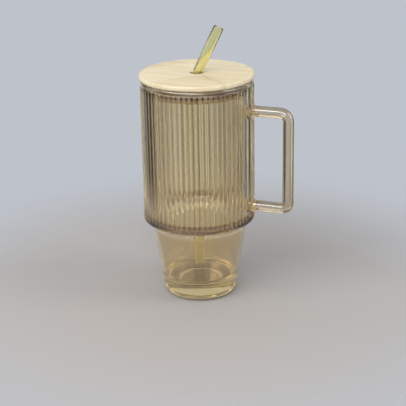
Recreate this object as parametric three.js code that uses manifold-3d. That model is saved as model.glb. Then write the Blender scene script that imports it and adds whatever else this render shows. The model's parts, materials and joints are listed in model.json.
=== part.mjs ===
// Ribbed glass mug: tumbler, welded rod handle, bamboo lid with a silicone seal, and a bent glass straw.
// Millimetres, +Z up. The mug's axis is vertical, the handle points along +X, and the standing face is at z = 0.
import * as THREE from "three";
import { mergeVertices } from "three/addons/utils/BufferGeometryUtils.js";
import Module from "manifold-3d";

// Tumbler: outside of the reeded wall, then the ledge under its shoulder, the hollow of the neck and the foot
const bodyRadius = 45;
const wall = 3;
const rimHeight = 179.4;
const lipInset = 0.5;
const rimRound = 1;
const shoulderHeight = 64.5;
const shoulderRound = 0.8;
const shoulderStep = 6.2;
const shoulderDrop = 3.7;
const neckRound = 5;
const innerShoulderRound = 4.6;
const innerNeckRound = 2.2;
const footRadius = 29.2;
const footRound = 6;
const baseThickness = 15;
const floorRound = 5;
const puntRadius = 18.5;
const puntDepth = 2.4;
const puntSlope = 2.2;
const puntRound = 2.6;

// Reeds pressed into the wall, between a smooth lip and the smooth edge of the shoulder
const ribCount = 68;
const ribDepth = 0.9;
const ribEndRun = 0.9;
const lipHeight = 3.4;
const edgeHeight = 0.9;
const samplesPerRib = 4;

// Handle: round rod in two arms and a grip bar, flared where it is welded on
const rodRadius = 4.4;
const fingerGap = 25.6;
const handleDrop = 23.1;
const handleSpan = 78;
const upperBend = 7.5;
const lowerBend = 5.6;
const weldRadius = 6;
const weldLength = 5.5;
const weldGap = 0.3;

// Lid: disc on the rim, plug in the mouth, groove for the seal, hole for the straw
const lidOverhang = 0.4;
const lidThickness = 4;
const lidRound = 1.8;
const seatGap = 0.3;
const plugDepth = 10.5;
const plugClearance = 1.2;
const plugRound = 1.2;
const grooveTop = 3.4;
const grooveHeight = 4;
const grooveDepth = 1.8;
const holeClearance = 1.2;
const holeRound = 0.8;

// Seal: ring with two fins, held in the groove
const sealGap = 0.3;
const finDepth = 0.7;

// Straw: tube standing on the floor, leaning in the hole, with its bend just under the top of the lid
const strawRadius = 4;
const strawWall = 1.1;
const strawFootGap = 0.3;
const strawTilt = 4.2;
const strawTiltBearing = 116;
const strawLean = 26;
const strawLeanBearing = 21;
const strawMouthLength = 40.5;
const strawBendDepth = 1;
const strawBendRound = 3;

// Chords of the round sections
const latheChords = 64;
const rodSides = 16;
const strawSides = 12;

// Levels and radii that several pieces share
const innerRadius = bodyRadius - wall;
const neckRadius = bodyRadius - shoulderStep;
const neckHeight = shoulderHeight - shoulderDrop;
const lidRadius = bodyRadius + lidOverhang;
const seatHeight = rimHeight + seatGap;
const lidTop = seatHeight + lidThickness;
const plugBottom = seatHeight - plugDepth;
const plugRadius = innerRadius - plugClearance;
const holeRadius = strawRadius + holeClearance;
const gripReach = bodyRadius + fingerGap + rodRadius;

const wasm = await Module();
wasm.setup();

// A closed geometry as a solid that can be joined and cut
function toSolid(geometry) {
  const bare = geometry.clone();
  bare.deleteAttribute("normal");
  bare.deleteAttribute("uv");
  const merged = mergeVertices(bare, 1e-4);
  const triVerts = new Uint32Array(merged.index.array);
  return new wasm.Manifold(
    new wasm.Mesh({ numProp: 3, vertProperties: merged.attributes.position.array, triVerts }),
  );
}

// A joined or cut solid as a geometry
function toGeometry(solid) {
  const { vertProperties, triVerts } = solid.getMesh();
  const geometry = new THREE.BufferGeometry();
  geometry.setAttribute("position", new THREE.BufferAttribute(vertProperties, 3));
  geometry.setIndex(new THREE.BufferAttribute(triVerts, 1));
  geometry.computeVertexNormals();
  return geometry;
}

// Points along an outline of corners [x, y, trim, chords]: a trimmed corner is rounded between its two sides
function outline(corners) {
  return corners.flatMap(([x, y, trim = 0, chords = 3], i) => {
    const corner = new THREE.Vector2(x, y);
    if (trim === 0) {
      return [corner];
    }
    const cutBack = (j) => new THREE.Vector2(...corners[j]).sub(corner).setLength(trim).add(corner);
    return new THREE.QuadraticBezierCurve(cutBack(i - 1), corner, cutBack(i + 1)).getPoints(chords);
  });
}

// The corner of a wall's inner face, inside the corner of its outer face
function insetCorner(before, corner, after, thickness) {
  const inward = (from, to) => {
    const along = to.clone().sub(from).normalize();
    return new THREE.Vector2(-along.y, along.x);
  };
  const first = inward(before, corner);
  const second = inward(corner, after);
  const reach = thickness / (1 + first.dot(second));
  return corner.clone().addScaledVector(first.add(second), reach);
}

// A profile of [radius, height] turned about the vertical axis
function turned(profile) {
  return new THREE.LatheGeometry(profile, latheChords).rotateX(Math.PI / 2);
}

// A path that is sampled at its own stations, however far apart they lie
class StationPath extends THREE.Curve {
  constructor(stations) {
    super();
    this.stations = stations;
  }
  getPoint(t) {
    const place = t * (this.stations.length - 1);
    const i = Math.min(Math.floor(place), this.stations.length - 2);
    return this.stations[i].clone().lerp(this.stations[i + 1], place - i);
  }
  getUtoTmapping(u) {
    return u;
  }
}

// A round rod or, with a bore, a round tube along a path of stations
function rod(stations, radius, sides, bore = 0) {
  const section = new THREE.Shape().absarc(0, 0, radius, 0, 2 * Math.PI);
  if (bore > 0) {
    section.holes.push(new THREE.Path().absarc(0, 0, bore, 0, 2 * Math.PI, true));
  }
  const extrudePath = new StationPath(stations);
  const steps = stations.length - 1;
  return new THREE.ExtrudeGeometry(section, { extrudePath, steps, curveSegments: sides / 2 });
}

// Triangles between two rings of vertices, where the count of one is a multiple of the other's
function ringBand(start, count, nextStart, nextCount) {
  const faces = [];
  const most = Math.max(count, nextCount);
  const at = (k) => start + Math.floor((k * count) / most + 0.5) % count;
  const nextAt = (k) => nextStart + Math.floor((k * nextCount) / most + 0.5) % nextCount;
  for (let k = 0; k < most; k += 1) {
    const quad = [at(k), at(k + 1), nextAt(k + 1), nextAt(k)];
    if (quad[0] !== quad[1]) {
      faces.push(quad[0], quad[1], quad[2]);
    }
    if (quad[2] !== quad[3]) {
      faces.push(quad[0], quad[2], quad[3]);
    }
  }
  return faces;
}

// The tumbler's skin: rings from the middle of the underside, up the outside, over the rim and down to the floor
function tumblerGeometry() {
  const foot = new THREE.Vector2(footRadius, 0);
  const neck = new THREE.Vector2(neckRadius, neckHeight);
  const shoulder = new THREE.Vector2(bodyRadius, shoulderHeight);
  const rim = new THREE.Vector2(bodyRadius, rimHeight);
  const innerNeck = insetCorner(foot, neck, shoulder, wall);
  const innerShoulder = insetCorner(neck, shoulder, rim, wall);
  const floorRun = (innerNeck.y - baseThickness) / (neck.y - foot.y);
  const floorRadius = innerNeck.x - (neck.x - foot.x) * floorRun;

  const edgeTop = shoulderHeight + edgeHeight;
  const lipBottom = rimHeight - lipHeight;
  const lipRadius = bodyRadius - lipInset;

  const below = outline([
    [0, puntDepth],
    [puntRadius - puntSlope, puntDepth, puntRound, 4],
    [puntRadius, 0],
    [footRadius, 0, footRound, 4],
    [neckRadius, neckHeight, neckRound, 5],
    [bodyRadius, shoulderHeight, shoulderRound, 2],
    [bodyRadius, edgeTop],
  ]);
  const reeded = outline([
    [bodyRadius, edgeTop + ribEndRun],
    [bodyRadius, lipBottom - ribEndRun],
  ]);
  const above = outline([
    [lipRadius, lipBottom],
    [lipRadius, rimHeight, rimRound, 3],
    [innerRadius, rimHeight, rimRound, 3],
    [innerShoulder.x, innerShoulder.y, innerShoulderRound, 4],
    [innerNeck.x, innerNeck.y, innerNeckRound, 3],
    [floorRadius, baseThickness, floorRound, 4],
    [0, baseThickness],
  ]);

  const plain = (point) => ({ point, count: ribCount, depth: 0 });
  const pressed = (point) => ({ point, count: ribCount * samplesPerRib, depth: ribDepth });
  const levels = [...below.map(plain), ...reeded.map(pressed), ...above.map(plain)];
  const positions = [];
  const faces = [];
  let last = null;
  for (const { point, count, depth } of levels) {
    const onAxis = point.x === 0;
    const ring = { start: positions.length / 3, count: onAxis ? 1 : count };
    for (let k = 0; k < ring.count; k += 1) {
      const angle = (2 * Math.PI * k) / ring.count;
      const reed = 1 - Math.abs(Math.sin((ribCount * angle) / 2));
      const radius = point.x - depth * reed;
      positions.push(radius * Math.cos(angle), radius * Math.sin(angle), point.y);
    }
    if (last) {
      faces.push(...ringBand(last.start, last.count, ring.start, ring.count));
    }
    last = ring;
  }
  const geometry = new THREE.BufferGeometry();
  geometry.setAttribute("position", new THREE.Float32BufferAttribute(positions, 3));
  geometry.setIndex(faces);
  geometry.computeVertexNormals();
  return geometry;
}

// The handle: rod and two weld flares, cut off just short of the wall
function handleGeometry() {
  const top = rimHeight - handleDrop;
  const bottom = top - handleSpan;
  const root = bodyRadius - rodRadius;
  const route = outline([
    [root, top],
    [gripReach, top, upperBend, 6],
    [gripReach, bottom, lowerBend, 6],
    [root, bottom],
  ]);
  const stations = route.map(({ x, y }) => new THREE.Vector3(x, 0, y));
  let solid = toSolid(rod(stations, rodRadius, rodSides));
  for (const height of [top, bottom]) {
    const flare = outline([
      [0, root],
      [weldRadius, root],
      [weldRadius, bodyRadius + weldGap],
      [rodRadius, bodyRadius + weldLength / 3, weldLength / 4, 3],
      [rodRadius, bodyRadius + weldLength],
      [0, bodyRadius + weldLength],
    ]);
    const flareGeometry = new THREE.LatheGeometry(flare, rodSides).rotateZ(-Math.PI / 2);
    solid = solid.add(toSolid(flareGeometry.translate(0, 0, height)));
  }
  const wallCut = new THREE.CylinderGeometry(
    bodyRadius + weldGap,
    bodyRadius + weldGap,
    rimHeight,
    2 * latheChords,
  );
  wallCut.rotateX(Math.PI / 2).translate(0, 0, rimHeight / 2);
  return toGeometry(solid.subtract(toSolid(wallCut)));
}

// The lid: disc, plug with its groove, and the straw hole
function lidGeometry() {
  const grooveUpper = seatHeight - grooveTop;
  const grooveLower = grooveUpper - grooveHeight;
  const hole = [holeRadius, plugBottom];
  return turned(
    outline([
      hole,
      [plugRadius, plugBottom, plugRound, 2],
      [plugRadius, grooveLower],
      [plugRadius - grooveDepth, grooveLower],
      [plugRadius - grooveDepth, grooveUpper],
      [plugRadius, grooveUpper],
      [plugRadius, seatHeight],
      [lidRadius, seatHeight, lidRound, 3],
      [lidRadius, lidTop, lidRound, 3],
      [holeRadius, lidTop, holeRound, 3],
      hole,
    ]),
  );
}

// The seal: a ring that fills the groove and reaches the wall with two fins
function sealGeometry() {
  const top = seatHeight - grooveTop - sealGap;
  const bottom = top - grooveHeight + 2 * sealGap;
  const quarter = (top - bottom) / 4;
  const inner = plugRadius - grooveDepth + sealGap;
  const outer = innerRadius - sealGap;
  const start = [inner, bottom];
  return turned(
    outline([
      start,
      [outer - finDepth, bottom],
      [outer, bottom + quarter],
      [outer - finDepth, bottom + 2 * quarter],
      [outer, top - quarter],
      [outer - finDepth, top],
      [inner, top],
      start,
    ]),
  );
}

// A direction that leans from the vertical by an angle, towards a bearing, both in degrees
function leaning(angle, bearing) {
  const polar = THREE.MathUtils.degToRad(angle);
  const turn = THREE.MathUtils.degToRad(bearing);
  return new THREE.Vector3(
    Math.sin(polar) * Math.cos(turn),
    Math.sin(polar) * Math.sin(turn),
    Math.cos(polar),
  );
}

// The straw: its lower leg crosses the axis half way through the lid, and its upper leg leans out above
function strawGeometry() {
  const lower = leaning(strawTilt, strawTiltBearing + 180);
  const upper = leaning(strawLean, strawLeanBearing);
  const crossing = new THREE.Vector3(0, 0, (plugBottom + lidTop) / 2);
  const alongTo = (height) => (height - crossing.z) / lower.z;
  const footReach = strawRadius * Math.sin(THREE.MathUtils.degToRad(strawTilt));
  const end = crossing.clone().addScaledVector(lower, alongTo(baseThickness + strawFootGap + footReach));
  const bend = crossing.clone().addScaledVector(lower, alongTo(lidTop - strawBendDepth));
  const mouth = bend.clone().addScaledVector(upper, strawMouthLength);
  const elbow = new THREE.QuadraticBezierCurve3(
    bend.clone().addScaledVector(lower, -strawBendRound),
    bend,
    bend.clone().addScaledVector(upper, strawBendRound),
  );
  return rod([end, ...elbow.getPoints(5), mouth], strawRadius, strawSides, strawRadius - strawWall);
}

const amberGlass = { color: 0xcdb67c, roughness: 0.04, metalness: 0, transparent: true, opacity: 0.45 };
const bamboo = { color: 0xe6d5a8, roughness: 0.6, metalness: 0 };
const silicone = { color: 0xe9e4d8, roughness: 0.5, metalness: 0 };
const yellowGlass = { color: 0xd8c45c, roughness: 0.04, metalness: 0, transparent: true, opacity: 0.55 };

function piece(name, geometry, finish) {
  const mesh = new THREE.Mesh(geometry, new THREE.MeshStandardMaterial(finish));
  mesh.name = name;
  return mesh;
}

// The origin is the middle of the mug's footprint, so the axis stands off it, away from the handle
const mug = new THREE.Group();
mug.position.x = (lidRadius - gripReach - rodRadius) / 2;
mug.add(
  piece("glass_body", tumblerGeometry(), amberGlass),
  piece("handle", handleGeometry(), amberGlass),
  piece("lid", lidGeometry(), bamboo),
  piece("seal_ring", sealGeometry(), silicone),
  piece("straw", strawGeometry(), yellowGlass),
);

const part = new THREE.Group();
part.add(mug);

export default part;
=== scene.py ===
import json
import math

import bpy
import numpy as np
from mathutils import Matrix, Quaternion, Vector


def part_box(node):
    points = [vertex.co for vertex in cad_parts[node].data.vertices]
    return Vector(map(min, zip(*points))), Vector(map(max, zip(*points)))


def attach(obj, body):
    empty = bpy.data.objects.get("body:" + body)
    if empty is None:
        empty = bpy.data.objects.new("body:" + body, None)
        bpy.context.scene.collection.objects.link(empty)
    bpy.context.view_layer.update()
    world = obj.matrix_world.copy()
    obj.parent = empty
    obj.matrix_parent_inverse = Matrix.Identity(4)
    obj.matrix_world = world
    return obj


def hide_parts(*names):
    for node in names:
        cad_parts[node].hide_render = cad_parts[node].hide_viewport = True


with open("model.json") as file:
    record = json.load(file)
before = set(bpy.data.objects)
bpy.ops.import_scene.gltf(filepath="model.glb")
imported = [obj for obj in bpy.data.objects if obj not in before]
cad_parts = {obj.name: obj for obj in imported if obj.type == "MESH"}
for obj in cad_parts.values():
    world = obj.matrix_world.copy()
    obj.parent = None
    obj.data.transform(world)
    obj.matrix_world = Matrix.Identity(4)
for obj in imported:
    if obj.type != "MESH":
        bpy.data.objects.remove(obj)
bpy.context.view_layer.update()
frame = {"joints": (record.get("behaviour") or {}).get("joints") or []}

MM = 0.001

# Sizes that the frame gives: the axis, the lid, the wall's crests and the reach of the handle
lid_low, lid_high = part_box("lid")
glass_low, glass_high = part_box("glass_body")
handle_low, handle_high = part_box("handle")
seal_low, seal_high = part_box("seal_ring")
AXIS_X = (lid_low.x + lid_high.x) / 2
LID_RADIUS = (lid_high.x - lid_low.x) / 2
LID_TOP = lid_high.z
PLUG_BOTTOM = lid_low.z
BODY_RADIUS = (glass_high.x - glass_low.x) / 2
RIM_HEIGHT = glass_high.z
SEAL_RADIUS = (seal_high.x - seal_low.x) / 2

# Tumbler, as the solid has it: ledge under the shoulder, neck, foot and the hollow under it
WALL = 3 * MM
RIM_ROUND = 0.9 * MM
SHOULDER_HEIGHT = 64.5 * MM
SHOULDER_ROUND = 0.8 * MM
NECK_RADIUS = 38.8 * MM
NECK_HEIGHT = 60.8 * MM
NECK_ROUND = 5 * MM
INNER_SHOULDER_ROUND = 4.6 * MM
INNER_NECK_ROUND = 2.2 * MM
FOOT_RADIUS = 29.2 * MM
FOOT_ROUND = 6 * MM
BASE_THICKNESS = 15 * MM
FLOOR_ROUND = 5 * MM
PUNT_RADIUS = 18.5 * MM
PUNT_DEPTH = 2.4 * MM
PUNT_SLOPE = 2.2 * MM
PUNT_ROUND = 2.6 * MM
PUNT_EDGE = 0.2 * MM
POLE_RADIUS = 4 * MM

# Reeds: count, depth, softness of the valleys, unevenness, and how they end
REEDS = 68
REED_DEPTH = 0.9 * MM
REED_SAMPLES = 12
VALLEY_SOFTNESS = 0.14
REED_ARCH = 0.8 * MM
REED_FOOT_ARCH = 0.3 * MM
REED_UNEVEN = 0.3
REED_SHIFT = 0.1
REED_FADE = 0.7 * MM
REED_LEVEL = 0.16 * MM
REED_LEVELS = 24

# Smooth lip above the reeds with its bead, and smooth edge below them
LIP_HEIGHT = 3 * MM
LIP_INSET = 0.15 * MM
LIP_BLEND = 10 * MM
LIP_TAPER = 0.9 * MM
LIP_ROUND = 0.8 * MM
BEAD_BULGE = 0.3 * MM
BEAD_HEIGHT = 1.5 * MM
BEAD_ROUND = 1.4 * MM
EDGE_HEIGHT = 0.9 * MM

# Painted shade on the tumbler's glass: shares of the wall and of the reeds' depth, and heights, between which
# it comes in
OUTER_FACE = (0.8, 0.5)
VALLEY_SHADE_DEPTH = (0.5, 0.85)
END_SHADE_DEPTH = (0.25, 0.55)
SHOULDER_SHADE = (6 * MM, 7.2 * MM)
HEAD_SHADE = (2 * MM, 6 * MM)
SHADE_EDGE = 0.3 * MM
LOWER_SHADE = (15.5 * MM, 22 * MM, 54 * MM, 60 * MM)

# Handle: rod, bends and the flared welds that run into the wall
ROD_RADIUS = 4.4 * MM
UPPER_BEND = 7.5 * MM
LOWER_BEND = 5.6 * MM
WELD_RADIUS = 6 * MM
WELD_LENGTH = 5.5 * MM
WELD_SINK = 1.6 * MM
WELD_FLARE = 2.5
WELD_RINGS = 16
BEND_STEPS = 20
ROD_SIDES = 40

# Lid: disc, plug, groove and hole, with the seal in the groove
LID_THICKNESS = 4 * MM
LID_ROUND = 1.8 * MM
PLUG_CLEARANCE = 1.2 * MM
PLUG_ROUND = 1.2 * MM
GROOVE_TOP = 3.4 * MM
GROOVE_HEIGHT = 4 * MM
GROOVE_DEPTH = 1.8 * MM
GROOVE_ROUND = 0.25 * MM
HOLE_RADIUS = 5.2 * MM
HOLE_ROUND = 0.8 * MM
HOLE_LOWER_ROUND = 0.4 * MM
SEAL_GAP = 0.3 * MM
FIN_DEPTH = 0.7 * MM
SEAL_SLACK = 0.9 * MM
SEAL_ROUND = 0.2 * MM
FIN_ROUND = 0.15 * MM

# Straw: tube, bend and the lean of the mouth's leg
STRAW_RADIUS = 4 * MM
STRAW_WALL = 1.1 * MM
STRAW_LEAN = math.radians(26)
STRAW_BEARING = math.radians(21)
STRAW_MOUTH = 40.5 * MM
STRAW_BEND_DEPTH = 1 * MM
STRAW_BEND_ROUND = 3 * MM
STRAW_FOOT = 15.593 * MM
ELBOW_POINTS = 17
STRAW_END_POINTS = 9

# Chords of the turned pieces and of their rounded corners, and the longest stretches of an outline
TURN_CHORDS = 256
CORNER_STEPS = 12
FINE_STEPS = 4
SHOULDER_STEPS = 8
NECK_STEPS = 16
TUMBLER_STRETCH = 8 * MM
HANDLE_STRETCH = 6 * MM
LID_STRETCH = 6 * MM
CORNER_GUARD = 0.25 * MM

# Camera: where it stands, as measured from the picture's edges
VIEW_AZIMUTH = math.radians(21)
VIEW_ELEVATION = math.radians(20.53)
VIEW_ROLL = math.radians(-1.127)
VIEW_DISTANCE = 0.9756
VIEW_HEIGHT = 74.58 * MM
VIEW_SIDE = 2.98 * MM
VIEW_FOCAL = 1200 / 406
SENSOR = 36
VIEW_CLIP = (0.01, 20)

# Surroundings: the backdrop, the pale card and dark cards beside it, and the dark belt above the view.
# Places are (turn, half width) in degrees from straight behind the mug. Heights are sines of the elevation.
BACKDROP_COLOUR = (0.515, 0.545, 0.6)
PALE_CARD_COLOUR = (1.0, 1.0, 0.98)
PALE_CARDS = ((25, 4),)
CARD_COLOUR = (0.035, 0.028, 0.025)
CARDS = ((-36, 10), (58, 16), (-79, 20), (115, 20), (-140, 20))
CARD_EDGES = (1.4, 0.6)
CARD_TOP = (-0.2, -0.08)
BELT_HEIGHT = (-0.02, 0.03, 0.2, 0.28)
BELT_TURN = (55, 75)

# Floor: a pale disc just under the foot, which fades into the backdrop
FLOOR_RADII = (0.05, 1.6)
FLOOR_RINGS = 24
FLOOR_CHORDS = 96
FLOOR_FADE = (0.12, 0.32)
FLOOR_GAP = 0.2 * MM
FLOOR_COLOUR = (0.47, 0.437, 0.405)
SPECKLE_COLOUR = (0.6, 0.58, 0.55)
SPECKLE_SHARE = 0.15

# Glass: bending of light, the lustre's own layer, and the waves of the surface
GLASS_IOR = 1.5
GLASS_ROUGHNESS = 0.03
LUSTRE_IOR = 1.8
LUSTRE_ROUGHNESS = 0.02
CLOUD_PALER = 0.85
WAVE_STRETCH = (1, 1, 0.35)
FINE_BUMP = 0.05 * MM

# Bamboo: grain, glued strips, shares of the tone, and the dark node across the grain
GRAIN = math.radians(50)
STRIP_WIDTH = 20 * MM
STRIP_EDGE = 6 * MM
FIBRE_STRETCH = (0.02, 1, 1)
STREAK_STRETCH = (0.04, 1, 1)
STRIP_TONE = 0.22
STREAK_TONE = 0.5
FIBRE_TONE = 0.28
NODE_TONE = 0.16
NODE_ALONG = -12 * MM
NODE_ACROSS = -15 * MM
NODE_WANDER = 6 * MM
NODE_LINE = (0.3 * MM, 2.6 * MM)
NODE_REACH = (17 * MM, 23 * MM)
NODE_BREAKS = (0.35, 0.6)

# Light that glass needs to pass through many faces
LIGHT_BOUNCES = 24
GLOSSY_BOUNCES = 12


# Points along an outline of corners (x, y, trim, steps): a trimmed corner is rounded between its two sides
def outline(corners):
    points = []
    for i, (x, y, *rounding) in enumerate(corners):
        corner = np.array((x, y))
        if not rounding:
            points.append(corner)
            continue
        trim = rounding[0]
        steps = rounding[1] if len(rounding) > 1 else CORNER_STEPS
        before = np.array(corners[i - 1][:2]) - corner
        after = np.array(corners[i + 1][:2]) - corner
        start = corner + before / np.linalg.norm(before) * trim
        end = corner + after / np.linalg.norm(after) * trim
        for t in np.linspace(0, 1, steps + 1):
            points.append(start * (1 - t) ** 2 + corner * 2 * t * (1 - t) + end * t**2)
    return np.array(points)


# The same outline with no stretch longer than a limit, and a short stretch beside each corner
def refined(points, limit):
    fine = [points[0]]
    for a, b in zip(points[:-1], points[1:]):
        run = np.linalg.norm(b - a)
        inner = max(1, math.ceil(run / limit))
        shares = list(np.linspace(0, 1, inner + 1)[1:])
        if run > 4 * CORNER_GUARD:
            guard = CORNER_GUARD / run
            between = [s for s in shares[:-1] if CORNER_GUARD < s * run < run - CORNER_GUARD]
            shares = [guard, *between, 1 - guard, 1]
        fine.extend(a + (b - a) * s for s in shares)
    return np.array(fine)


# The corner of a wall's inner face, inside the corner of its outer face
def inset_corner(before, corner, after, thickness):
    before, corner, after = (np.array(p) for p in (before, corner, after))
    first = (corner - before) / np.linalg.norm(corner - before)
    second = (after - corner) / np.linalg.norm(after - corner)
    first = np.array((-first[1], first[0]))
    second = np.array((-second[1], second[0]))
    return corner + (first + second) * thickness / (1 + first @ second)


# A smooth mesh object made of rings of points; poles close the ends, a loop joins the last ring to the first
def ring_mesh(name, rings, loop=False, poles=()):
    rows, columns = rings.shape[:2]
    vertices = [tuple(p) for p in rings.reshape(-1, 3)]
    faces = []
    for row in range(rows if loop else rows - 1):
        low, high = row * columns, (row + 1) % rows * columns
        for k in range(columns):
            after = (k + 1) % columns
            faces.append((low + k, low + after, high + after, high + k))
    for pole, row in zip(poles, (0, rows - 1)):
        vertices.append(tuple(pole))
        tip = len(vertices) - 1
        for k in range(columns):
            after = (k + 1) % columns
            edge = (row * columns + after, row * columns + k)
            faces.append((tip, *edge) if row == 0 else (tip, *edge[::-1]))
    mesh = bpy.data.meshes.new(name)
    mesh.from_pydata(vertices, [], faces)
    mesh.shade_smooth()
    made = bpy.data.objects.new(name, mesh)
    bpy.context.scene.collection.objects.link(made)
    return made


# Rings of a profile of (radius, height) points turned about the mug's axis
def turned_rings(profile, chords):
    angles = np.linspace(0, 2 * math.pi, chords, endpoint=False)
    radius = profile[:, 0][:, None]
    height = np.broadcast_to(profile[:, 1][:, None], (len(profile), chords))
    return np.stack((AXIS_X + radius * np.cos(angles), radius * np.sin(angles), height), axis=-1)


# A route of straight legs and rounded corners, as points, directions and distances along it
class Route:
    def __init__(self, points):
        self.points = np.array(points)
        steps = np.diff(self.points, axis=0)
        lengths = np.linalg.norm(steps, axis=1)
        self.along = np.concatenate(((0,), np.cumsum(lengths)))
        self.length = self.along[-1]
        chords = steps / lengths[:, None]
        inner = chords[:-1] + chords[1:]
        inner /= np.linalg.norm(inner, axis=1)[:, None]
        self.directions = np.concatenate((chords[:1], inner, chords[-1:]))

    def at(self, distance):
        point = [np.interp(distance, self.along, self.points[:, k]) for k in range(3)]
        direction = np.array([np.interp(distance, self.along, self.directions[:, k]) for k in range(3)])
        return np.array(point), direction / np.linalg.norm(direction)


# Rings round a flat route: sections are (distance along it, radius) pairs and side is the route's own normal
def swept_rings(route, sections, side, sides):
    angles = np.linspace(0, 2 * math.pi, sides, endpoint=False)
    rings = []
    for distance, radius in sections:
        centre, direction = route.at(distance)
        over = np.cross(side, direction)
        spokes = np.outer(np.cos(angles), over) + np.outer(np.sin(angles), side)
        rings.append(centre + radius * spokes)
    return np.array(rings)


def smooth_step(x):
    t = np.clip(x, 0, 1)
    return t * t * (3 - 2 * t)


# The reeded tumbler, from the hollow under its foot, up the outside, over the rim and down to its floor
def make_tumbler():
    foot = (FOOT_RADIUS, 0)
    neck = (NECK_RADIUS, NECK_HEIGHT)
    shoulder = (BODY_RADIUS, SHOULDER_HEIGHT)
    rim = (BODY_RADIUS, RIM_HEIGHT)
    lip_radius = BODY_RADIUS - LIP_INSET
    lip_bottom = RIM_HEIGHT - LIP_HEIGHT
    edge_top = SHOULDER_HEIGHT + EDGE_HEIGHT
    inner_neck = inset_corner(foot, neck, shoulder, WALL)
    inner_shoulder = inset_corner(neck, shoulder, rim, WALL)
    inner_radius = BODY_RADIUS - WALL
    floor_run = (inner_neck[1] - BASE_THICKNESS) / NECK_HEIGHT
    floor_radius = inner_neck[0] - (NECK_RADIUS - FOOT_RADIUS) * floor_run

    below = outline([
        (POLE_RADIUS, PUNT_DEPTH),
        (PUNT_RADIUS - PUNT_SLOPE, PUNT_DEPTH, PUNT_ROUND),
        (PUNT_RADIUS, 0, PUNT_EDGE, FINE_STEPS),
        (FOOT_RADIUS, 0, FOOT_ROUND),
        (NECK_RADIUS, NECK_HEIGHT, NECK_ROUND, NECK_STEPS),
        (BODY_RADIUS, SHOULDER_HEIGHT, SHOULDER_ROUND, SHOULDER_STEPS),
        (BODY_RADIUS, edge_top),
    ])
    above = outline([
        (lip_radius, lip_bottom),
        (lip_radius + BEAD_BULGE, lip_bottom + BEAD_HEIGHT, BEAD_ROUND),
        (lip_radius - LIP_TAPER, RIM_HEIGHT, LIP_ROUND),
        (inner_radius, RIM_HEIGHT, RIM_ROUND),
        (*inner_shoulder, INNER_SHOULDER_ROUND),
        (*inner_neck, INNER_NECK_ROUND),
        (floor_radius, BASE_THICKNESS, FLOOR_ROUND),
        (POLE_RADIUS, BASE_THICKNESS),
    ])

    columns = REEDS * REED_SAMPLES
    phase = (np.arange(columns) % REED_SAMPLES) / REED_SAMPLES * 2 - 1
    crest = np.cos(phase * math.pi / 2)
    soft = np.sqrt(crest**2 + VALLEY_SOFTNESS**2) - VALLEY_SOFTNESS
    soft /= math.sqrt(1 + VALLEY_SOFTNESS**2) - VALLEY_SOFTNESS
    chance = np.random.default_rng(REEDS)
    depth = 1 - REED_UNEVEN * chance.random(REEDS)
    shift = REED_SHIFT * (chance.random(REEDS) - 0.5)
    reed = np.arange(columns) // REED_SAMPLES
    valley = (reed + (phase > 0)) % REEDS
    reed_drop = REED_DEPTH * (1 - soft) * depth[valley]

    # The reeds' levels lie close together at both ends, where the reeds fade out in an arch
    reach = lip_bottom - edge_top
    ends = np.arange(0, REED_ARCH + 2 * REED_FADE, REED_LEVEL)
    levels = np.unique(np.concatenate((ends, reach - ends, np.linspace(0, reach, REED_LEVELS))).round(7))
    reeded = []
    for level in levels:
        top = smooth_step((reach - level - REED_ARCH * phase**2) / REED_FADE)
        bottom = smooth_step((level - REED_FOOT_ARCH * phase**2) / REED_FADE)
        plain = BODY_RADIUS - LIP_INSET * (1 - smooth_step((reach - level - LIP_BLEND) / LIP_BLEND))
        reeded.append((plain + (BODY_RADIUS - reed_drop - plain) * top * bottom, edge_top + level))

    share = (phase + 1) / 2
    place = reed + share + shift[reed] * (1 - share) + shift[(reed + 1) % REEDS] * share
    angles = place / REEDS * 2 * math.pi
    rows = [(np.full(columns, r), z) for r, z in refined(below, TUMBLER_STRETCH)[:-1]]
    rows += reeded
    rows += [(np.full(columns, r), z) for r, z in refined(above, TUMBLER_STRETCH)[1:]]
    rings = np.array([
        np.stack((AXIS_X + r * np.cos(angles), r * np.sin(angles), np.full(columns, z)), axis=-1)
        for r, z in rows
    ])
    poles = ((AXIS_X, 0, PUNT_DEPTH), (AXIS_X, 0, BASE_THICKNESS))
    return ring_mesh("reeded_tumbler", rings, poles=poles)


# The handle: one bent rod whose two ends swell into the welds
def make_handle():
    root = BODY_RADIUS - WELD_SINK
    reach = handle_high.x - AXIS_X - ROD_RADIUS
    top = handle_high.z - WELD_RADIUS
    bottom = handle_low.z + WELD_RADIUS
    flat = outline([
        (root, top),
        (reach, top, UPPER_BEND, BEND_STEPS),
        (reach, bottom, LOWER_BEND, BEND_STEPS),
        (root, bottom),
    ])
    flat = refined(flat, HANDLE_STRETCH)
    route = Route([(AXIS_X + x, 0, z) for x, z in flat])
    ends = np.linspace(0, WELD_SINK + WELD_LENGTH, WELD_RINGS)
    stations = np.unique(np.concatenate((route.along, ends, route.length - ends)).round(7))
    from_wall = np.minimum(stations, route.length - stations) - WELD_SINK
    swell = 1 - np.clip(from_wall / WELD_LENGTH, 0, 1)
    radii = ROD_RADIUS + (WELD_RADIUS - ROD_RADIUS) * swell**WELD_FLARE
    rings = swept_rings(route, list(zip(stations, radii)), np.array((0, 1, 0)), ROD_SIDES)
    return ring_mesh("rod_handle", rings, poles=(route.points[0], route.points[-1]))


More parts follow.
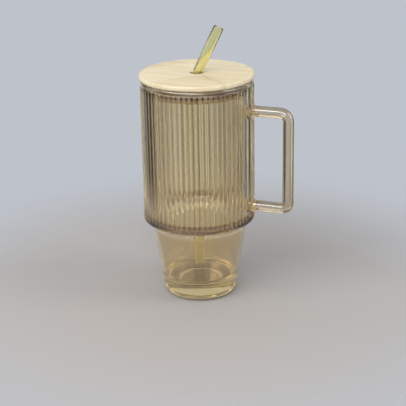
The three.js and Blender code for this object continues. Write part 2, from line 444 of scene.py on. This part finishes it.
# The lid: disc with rounded edges, plug, groove and straw hole
def make_lid():
    seat = LID_TOP - LID_THICKNESS
    plug_radius = BODY_RADIUS - WALL - PLUG_CLEARANCE
    groove_radius = plug_radius - GROOVE_DEPTH
    groove_upper = seat - GROOVE_TOP
    groove_lower = groove_upper - GROOVE_HEIGHT
    middle = (PLUG_BOTTOM + LID_TOP) / 2
    profile = outline([
        (HOLE_RADIUS, middle),
        (HOLE_RADIUS, PLUG_BOTTOM, HOLE_LOWER_ROUND, FINE_STEPS),
        (plug_radius, PLUG_BOTTOM, PLUG_ROUND),
        (plug_radius, groove_lower, GROOVE_ROUND, FINE_STEPS),
        (groove_radius, groove_lower),
        (groove_radius, groove_upper),
        (plug_radius, groove_upper, GROOVE_ROUND, FINE_STEPS),
        (plug_radius, seat),
        (LID_RADIUS, seat, LID_ROUND),
        (LID_RADIUS, LID_TOP, LID_ROUND),
        (HOLE_RADIUS, LID_TOP, HOLE_ROUND),
        (HOLE_RADIUS, middle),
    ])
    rings = turned_rings(refined(profile, LID_STRETCH)[:-1], TURN_CHORDS)
    return ring_mesh("bamboo_lid", rings, loop=True)


# The seal: a ring that fills the groove and touches the wall with two soft fins
def make_seal():
    top, bottom = seal_high.z, seal_low.z + SEAL_SLACK
    inner = BODY_RADIUS - WALL - PLUG_CLEARANCE - GROOVE_DEPTH + SEAL_GAP
    quarter = (top - bottom) / 4
    root = SEAL_RADIUS - FIN_DEPTH
    middle = (top + bottom) / 2
    profile = outline([
        (inner, middle),
        (inner, bottom, SEAL_ROUND, FINE_STEPS),
        (root, bottom, FIN_ROUND, FINE_STEPS),
        (SEAL_RADIUS, bottom + quarter, SEAL_ROUND, FINE_STEPS),
        (root, middle, SEAL_ROUND, FINE_STEPS),
        (SEAL_RADIUS, top - quarter, SEAL_ROUND, FINE_STEPS),
        (root, top, FIN_ROUND, FINE_STEPS),
        (inner, top, SEAL_ROUND, FINE_STEPS),
        (inner, middle),
    ])
    return ring_mesh("silicone_seal", turned_rings(profile[:-1], TURN_CHORDS), loop=True)


# The straw: a tube with one bend and polished round ends
def make_straw():
    joint = next(j for j in frame["joints"] if j["name"] == "straw_slide")
    lower = Vector(joint["axis"]).normalized()
    flat = math.sin(STRAW_LEAN)
    upper = Vector((flat * math.cos(STRAW_BEARING), flat * math.sin(STRAW_BEARING), math.cos(STRAW_LEAN)))
    crossing = Vector((AXIS_X, 0, (PLUG_BOTTOM + LID_TOP) / 2))
    end = crossing + lower * ((STRAW_FOOT - crossing.z) / lower.z)
    bend = crossing + lower * ((LID_TOP - STRAW_BEND_DEPTH - crossing.z) / lower.z)
    mouth = bend + upper * STRAW_MOUTH
    start, finish = bend - lower * STRAW_BEND_ROUND, bend + upper * STRAW_BEND_ROUND
    shares = np.linspace(0, 1, ELBOW_POINTS)
    elbow = [start * (1 - t) ** 2 + bend * 2 * t * (1 - t) + finish * t**2 for t in shares]
    route = Route([end, *elbow, mouth])
    side = np.array(lower.cross(upper).normalized())

    half = STRAW_WALL / 2
    turn = np.linspace(0, math.pi, STRAW_END_POINTS)[1:-1]
    middle = STRAW_RADIUS - half
    stations = np.concatenate(((half,), route.along[1:-1], (route.length - half,)))
    outer = [(s, STRAW_RADIUS) for s in stations]
    lip = [(route.length - half + half * math.sin(t), middle + half * math.cos(t)) for t in turn]
    bore = [(s, STRAW_RADIUS - STRAW_WALL) for s in stations[::-1]]
    foot = [(half - half * math.sin(t), middle - half * math.cos(t)) for t in turn]
    rings = swept_rings(route, outer + lip + bore + foot, side, ROD_SIDES)
    return ring_mesh("glass_straw", rings, loop=True)


# A tree of shader nodes, with short ways to add the usual nodes; inputs go by name, or by number as i0, i1
class Graph:
    def __init__(self, tree):
        self.nodes = tree.nodes
        self.links = tree.links

    def add(self, kind, operation=None, **inputs):
        node = self.nodes.new(kind)
        if operation:
            node.operation = operation
        for socket, value in inputs.items():
            key = int(socket[1:]) if socket[1:].isdigit() else socket.replace("_", " ")
            if hasattr(value, "is_output"):
                self.links.new(value, node.inputs[key])
            else:
                node.inputs[key].default_value = value
        return node

    def math(self, operation, *values):
        inputs = {f"i{k}": value for k, value in enumerate(values)}
        return self.add("ShaderNodeMath", operation, **inputs).outputs[0]

    def smooth(self, value, low, high):
        node = self.add("ShaderNodeMapRange", Value=value, From_Min=low, From_Max=high)
        node.interpolation_type = "SMOOTHSTEP"
        return node.outputs[0]

    def mix(self, share, first, second):
        node = self.nodes.new("ShaderNodeMix")
        node.data_type = "RGBA"
        for socket, value in ((0, share), (6, first), (7, second)):
            if hasattr(value, "is_output"):
                self.links.new(value, node.inputs[socket])
            else:
                node.inputs[socket].default_value = (*value, 1) if socket else value
        return node.outputs[2]

    def place(self, scale=(1, 1, 1), turn=0.0):
        place = self.add("ShaderNodeTexCoord").outputs["Object"]
        return self.add("ShaderNodeMapping", Vector=place, Rotation=(0, 0, turn), Scale=scale).outputs[0]

    def noise(self, vector, scale, detail=3.0):
        return self.add("ShaderNodeTexNoise", Vector=vector, Scale=scale, Detail=detail).outputs["Fac"]

    def ramp(self, value, *stops):
        node = self.add("ShaderNodeValToRGB", Fac=value)
        elements = node.color_ramp.elements
        while len(elements) < len(stops):
            elements.new(0.5)
        for element, (position, colour) in zip(elements, stops):
            element.position = position
            element.color = (*colour, 1)
        return node.outputs["Color"]


# A material with its shader
class Finish(Graph):
    def __init__(self, name):
        self.material = bpy.data.materials.new(name)
        self.material.use_nodes = True
        super().__init__(self.material.node_tree)
        self.shader = self.nodes["Principled BSDF"]
        self.output = self.nodes["Material Output"]

    def set(self, **sockets):
        for socket, value in sockets.items():
            self.shader.inputs[socket.replace("_", " ")].default_value = value

    def feed(self, socket, value):
        self.links.new(value, self.shader.inputs[socket])

    def bump(self, height, strength, distance):
        node = self.add("ShaderNodeBump", Height=height, Strength=strength, Distance=distance)
        self.feed("Normal", node.outputs[0])


# Where the tumbler's glass gets painted shade: shares of the valleys between the reeds, of the band over the
# shoulder, of the wide valleys at the reeds' ends, and of the smooth lower part
def painted_shade_places(finish):
    parts = finish.add("ShaderNodeSeparateXYZ", Vector=finish.place()).outputs
    height = parts["Z"]
    aside = finish.math("SUBTRACT", parts["X"], AXIS_X)
    flat = finish.add("ShaderNodeCombineXYZ", X=aside, Y=parts["Y"]).outputs[0]
    radius = finish.add("ShaderNodeVectorMath", "LENGTH", i0=flat).outputs["Value"]
    outside = finish.smooth(radius, *(BODY_RADIUS - WALL * share for share in OUTER_FACE))

    # Painted shade in the valleys between the reeds
    drop = finish.math("SUBTRACT", BODY_RADIUS, radius)
    deep = finish.smooth(drop, *(REED_DEPTH * share for share in VALLEY_SHADE_DEPTH))
    from_lip = finish.math("SUBTRACT", RIM_HEIGHT - LIP_HEIGHT, height)
    under_lip = finish.smooth(from_lip, -SHADE_EDGE, SHADE_EDGE)
    edge_top = SHOULDER_HEIGHT + EDGE_HEIGHT
    over_edge = finish.smooth(height, edge_top, edge_top + EDGE_HEIGHT)
    reeded = finish.math("MULTIPLY", outside, finish.math("MULTIPLY", under_lip, over_edge))
    valleys = finish.math("MULTIPLY", reeded, deep)

    # Painted shade in the band over the shoulder's corner
    from_corner = finish.math("SUBTRACT", height, SHOULDER_HEIGHT)
    over_corner = finish.smooth(from_corner, -SHADE_EDGE, SHADE_EDGE)
    under_top = finish.math("SUBTRACT", 1.0, finish.smooth(from_corner, *SHOULDER_SHADE))
    band = finish.math("MULTIPLY", outside, finish.math("MULTIPLY", over_corner, under_top))
    # Painted shade, deepest, in the wide valleys at the reeds' ends, under the lip and over the shoulder
    heads = finish.math("SUBTRACT", 1.0, finish.smooth(from_lip, *HEAD_SHADE))
    wide = finish.smooth(drop, *(REED_DEPTH * share for share in END_SHADE_DEPTH))
    ends = finish.math("MULTIPLY", wide, finish.math("MAXIMUM", band, heads))
    deepest = finish.math("MULTIPLY", reeded, ends)

    # Painted shade over the smooth lower part, between the foot and the neck
    over_base = finish.smooth(height, *LOWER_SHADE[:2])
    under_neck = finish.math("SUBTRACT", 1.0, finish.smooth(height, *LOWER_SHADE[2:]))
    lower = finish.math("MULTIPLY", over_base, under_neck)
    return valleys, band, deepest, lower


# Clear coloured glass: tinted faces, a lustre on them, slow waves in the surface and absorption inside.
# The last argument gives painted shade colours for the tumbler's places, in the order the places come.
def glass(name, tint, absorbed, density, lustre, shade_colours=None):
    finish = Finish(name)
    finish.set(IOR=GLASS_IOR, Transmission_Weight=1.0, Specular_IOR_Level=lustre["level"])
    finish.shader.inputs["Specular Tint"].default_value = (*lustre["tint"], 1)
    finish.set(Coat_Weight=lustre["coat"], Coat_IOR=LUSTRE_IOR, Coat_Roughness=LUSTRE_ROUGHNESS)
    place = finish.place()
    cloud = finish.noise(place, scale=60)
    paler = tuple(1 - (1 - c) * CLOUD_PALER for c in tint)
    colour = finish.ramp(cloud, (0.3, tint), (0.7, paler))
    # Painted shade: each place darkens the glass's colour towards its shade colour
    if shade_colours:
        for place_share, shaded_colour in zip(painted_shade_places(finish), shade_colours):
            colour = finish.mix(place_share, colour, shaded_colour)
    finish.feed("Base Color", colour)
    finish.feed("Roughness", finish.math("MULTIPLY", finish.noise(place, scale=25), GLASS_ROUGHNESS))
    waves = finish.noise(finish.place(scale=WAVE_STRETCH), scale=120, detail=1.0)
    finish.bump(waves, strength=0.25, distance=FINE_BUMP)
    inside = finish.add("ShaderNodeVolumeAbsorption", Color=(*absorbed, 1), Density=density)
    finish.links.new(inside.outputs[0], finish.output.inputs["Volume"])
    return finish.material


# Sanded bamboo board: glued strips of their own shade, long fibres, and a node's dark line across two strips
def bamboo():
    finish = Finish("sanded_bamboo")
    finish.set(Specular_IOR_Level=0.3)
    board = finish.place(turn=-GRAIN)
    parts = finish.add("ShaderNodeSeparateXYZ", Vector=board)
    along, across = parts.outputs["X"], parts.outputs["Y"]
    strip = finish.math("DIVIDE", finish.math("SUBTRACT", across, STRIP_EDGE), STRIP_WIDTH)
    strip = finish.add("ShaderNodeCombineXYZ", X=finish.math("FLOOR", strip)).outputs[0]
    shade = finish.add("ShaderNodeTexWhiteNoise", Vector=strip).outputs["Value"]
    fibre = finish.noise(finish.place(turn=-GRAIN, scale=FIBRE_STRETCH), scale=1600, detail=4.0)
    streak = finish.noise(finish.place(turn=-GRAIN, scale=STREAK_STRETCH), scale=260, detail=3.0)
    tone = finish.math("MULTIPLY", shade, STRIP_TONE)
    tone = finish.math("ADD", tone, finish.math("MULTIPLY", streak, STREAK_TONE))
    tone = finish.math("ADD", tone, finish.math("MULTIPLY", fibre, FIBRE_TONE))

    # The node: a thin broken line across the grain, from one edge of its two strips to the other
    wander = finish.math("SUBTRACT", finish.noise(board, scale=90), 0.5)
    wander = finish.math("MULTIPLY", wander, NODE_WANDER)
    apart = finish.math("SUBTRACT", finish.math("ADD", along, wander), NODE_ALONG)
    line = finish.math("SUBTRACT", 1.0, finish.smooth(finish.math("ABSOLUTE", apart), *NODE_LINE))
    width = finish.math("ABSOLUTE", finish.math("SUBTRACT", across, NODE_ACROSS))
    inside = finish.math("SUBTRACT", 1.0, finish.smooth(width, *NODE_REACH))
    node = finish.math("MULTIPLY", finish.math("MULTIPLY", line, inside), finish.smooth(fibre, *NODE_BREAKS))
    tone = finish.math("SUBTRACT", tone, finish.math("MULTIPLY", node, NODE_TONE))
    colour = finish.ramp(
        tone,
        (0.15, (0.50, 0.35, 0.19)),
        (0.38, (0.74, 0.60, 0.36)),
        (0.52, (0.85, 0.73, 0.49)),
        (0.68, (0.90, 0.80, 0.58)),
    )
    finish.feed("Base Color", colour)
    finish.feed("Roughness", finish.math("ADD", finish.math("MULTIPLY", fibre, 0.2), 0.45))
    finish.bump(fibre, strength=0.15, distance=FINE_BUMP)
    return finish.material


# Soft translucent silicone with a fine moulded texture
def silicone():
    finish = Finish("soft_silicone")
    finish.set(Subsurface_Weight=0.4, Subsurface_Scale=2 * MM, Specular_IOR_Level=0.4)
    cloud = finish.noise(finish.place(), scale=200)
    finish.feed("Base Color", finish.ramp(cloud, (0.3, (0.76, 0.72, 0.78)), (0.7, (0.82, 0.78, 0.83))))
    finish.feed("Roughness", finish.math("ADD", finish.math("MULTIPLY", cloud, 0.2), 0.35))
    finish.bump(finish.noise(finish.place(), scale=2500), strength=0.1, distance=FINE_BUMP)
    return finish.material


# A piece gets its material, rides on its body and stands for its CAD node
def dress(piece, material, body, node):
    piece.data.materials.append(material)
    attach(piece, body)
    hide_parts(node)


# The direction from the mug towards a place round it, as azimuth from the camera and elevation
def towards(azimuth, elevation):
    turn = VIEW_AZIMUTH + azimuth
    flat = math.cos(elevation)
    return Vector((math.sin(turn) * flat, -math.cos(turn) * flat, math.sin(elevation)))


# A soft lamp that faces the mug; angles are in degrees
def softbox(name, azimuth, elevation, distance, size, power, colour):
    lamp = bpy.data.lights.new(name, "AREA")
    lamp.shape = "RECTANGLE"
    lamp.size, lamp.size_y = size
    lamp.energy = power
    lamp.color = colour
    made = bpy.data.objects.new(name, lamp)
    bpy.context.scene.collection.objects.link(made)
    middle = Vector((AXIS_X, 0, RIM_HEIGHT / 2))
    out = towards(math.radians(azimuth), math.radians(elevation))
    made.location = middle + out * distance
    made.rotation_euler = out.to_track_quat("Z", "Y").to_euler()
    made.visible_camera = False


# Floor: a pale disc that fades into the background
def make_floor():
    radii = np.linspace(*FLOOR_RADII, FLOOR_RINGS)
    rings = turned_rings(np.array([(radius, -FLOOR_GAP) for radius in radii]), FLOOR_CHORDS)
    floor = ring_mesh("floor", rings, poles=((AXIS_X, 0, -FLOOR_GAP),))
    finish = Finish("pale_floor")
    finish.set(Roughness=0.7, Specular_IOR_Level=0.2)
    place = finish.place()
    spot = finish.add("ShaderNodeVectorMath", "SUBTRACT", i0=place, i1=(AXIS_X, 0, 0)).outputs[0]
    length = finish.add("ShaderNodeVectorMath", "LENGTH", i0=spot).outputs["Value"]
    speckle = finish.math("MULTIPLY", finish.noise(place, scale=300), SPECKLE_SHARE)
    finish.feed("Base Color", finish.mix(speckle, FLOOR_COLOUR, SPECKLE_COLOUR))
    fade = finish.smooth(length, *FLOOR_FADE)
    clear = finish.add("ShaderNodeBsdfTransparent")
    mix = finish.add("ShaderNodeMixShader", i0=fade, i1=finish.shader.outputs[0], i2=clear.outputs[0])
    finish.links.new(mix.outputs[0], finish.output.inputs["Surface"])
    floor.data.materials.append(finish.material)


# World: an even backdrop, with a pale card, dark cards and a dark belt that only glass and gloss show
def make_world():
    world = bpy.data.worlds.new("studio")
    bpy.context.scene.world = world
    world.use_nodes = True
    graph = Graph(world.node_tree)
    backdrop = graph.nodes["Background"]
    parts = graph.add("ShaderNodeSeparateXYZ", Vector=graph.add("ShaderNodeTexCoord").outputs["Generated"])
    azimuth = graph.math("ARCTAN2", parts.outputs["X"], graph.math("MULTIPLY", parts.outputs["Y"], -1))
    turn = graph.math("SUBTRACT", azimuth, VIEW_AZIMUTH + math.pi)
    low = graph.math("SUBTRACT", 1.0, graph.smooth(parts.outputs["Z"], *CARD_TOP))

    def uprights(places):
        share = 0.0
        for middle, half in places:
            apart = graph.math("COSINE", graph.math("SUBTRACT", turn, math.radians(middle)))
            edges = (math.cos(math.radians(half * edge)) for edge in CARD_EDGES)
            share = graph.math("MAXIMUM", share, graph.smooth(apart, *edges))
        return graph.math("MULTIPLY", share, low)

    dark = uprights(CARDS)
    belt = graph.math(
        "MULTIPLY",
        graph.smooth(parts.outputs["Z"], *BELT_HEIGHT[:2]),
        graph.math("SUBTRACT", 1.0, graph.smooth(parts.outputs["Z"], *BELT_HEIGHT[2:])),
    )
    inner, outer = (math.cos(math.radians(side)) for side in BELT_TURN)
    belt = graph.math("MULTIPLY", belt, graph.smooth(graph.math("COSINE", turn), outer, inner))
    dark = graph.math("MAXIMUM", dark, belt)
    path = graph.add("ShaderNodeLightPath").outputs
    seen = graph.math("ADD", path["Is Glossy Ray"], path["Is Transmission Ray"])
    shown = graph.mix(uprights(PALE_CARDS), BACKDROP_COLOUR, PALE_CARD_COLOUR)
    shown = graph.mix(dark, shown, CARD_COLOUR)
    colour = graph.mix(seen, BACKDROP_COLOUR, shown)
    graph.links.new(colour, backdrop.inputs["Color"])


# Camera at the picture's viewing angle
def make_camera():
    camera = bpy.data.cameras.new("camera")
    camera.sensor_width = SENSOR
    camera.lens = SENSOR * VIEW_FOCAL
    camera.clip_start, camera.clip_end = VIEW_CLIP
    made = bpy.data.objects.new("camera", camera)
    bpy.context.scene.collection.objects.link(made)
    back = towards(0, VIEW_ELEVATION)
    right = Vector((math.cos(VIEW_AZIMUTH), math.sin(VIEW_AZIMUTH), 0))
    target = Vector((AXIS_X, 0, VIEW_HEIGHT)) + right * VIEW_SIDE
    made.location = target + back * VIEW_DISTANCE
    made.rotation_mode = "QUATERNION"
    made.rotation_quaternion = back.to_track_quat("Z", "Y") @ Quaternion((0, 0, 1), VIEW_ROLL)
    bpy.context.scene.camera = made


make_camera()
make_world()
make_floor()
softbox(
    "key_softbox",
    azimuth=-34,
    elevation=42,
    distance=1.4,
    size=(1.9, 0.46),
    power=15.5,
    colour=(1.0, 0.97, 0.94),
)
softbox(
    "fill_softbox",
    azimuth=75,
    elevation=35,
    distance=1.5,
    size=(0.6, 1.0),
    power=5,
    colour=(0.95, 0.97, 1.0),
)

amber = glass(
    "amber_glass",
    tint=(0.98, 0.88, 0.66),
    absorbed=(0.92, 0.78, 0.25),
    density=14,
    lustre={"level": 0.9, "tint": (1.0, 0.88, 0.92), "coat": 0.8},
    # Painted shade colours: reeds' valleys, band over the shoulder, reeds' ends, smooth lower part
    shade_colours=((0.54, 0.4, 0.26), (0.38, 0.25, 0.14), (0.12, 0.055, 0.025), (0.88, 0.77, 0.55)),
)
rod = glass(
    "amber_rod",
    tint=(0.7, 0.585, 0.4),
    absorbed=(0.92, 0.78, 0.25),
    density=12,
    lustre={"level": 0.9, "tint": (1.0, 0.88, 0.92), "coat": 1.0},
)
yellow = glass(
    "yellow_glass",
    tint=(0.97, 0.94, 0.64),
    absorbed=(1.0, 0.97, 0.3),
    density=48,
    lustre={"level": 0.5, "tint": (1.0, 1.0, 1.0), "coat": 0.0},
)
dress(make_tumbler(), amber, "mug", "glass_body")
dress(make_handle(), rod, "mug", "handle")
dress(make_lid(), bamboo(), "lid", "lid")
dress(make_seal(), silicone(), "seal", "seal_ring")
dress(make_straw(), yellow, "straw", "straw")

scene = bpy.context.scene
scene.view_settings.view_transform = "Standard"
scene.cycles.max_bounces = LIGHT_BOUNCES
scene.cycles.transmission_bounces = LIGHT_BOUNCES
scene.cycles.glossy_bounces = GLOSSY_BOUNCES
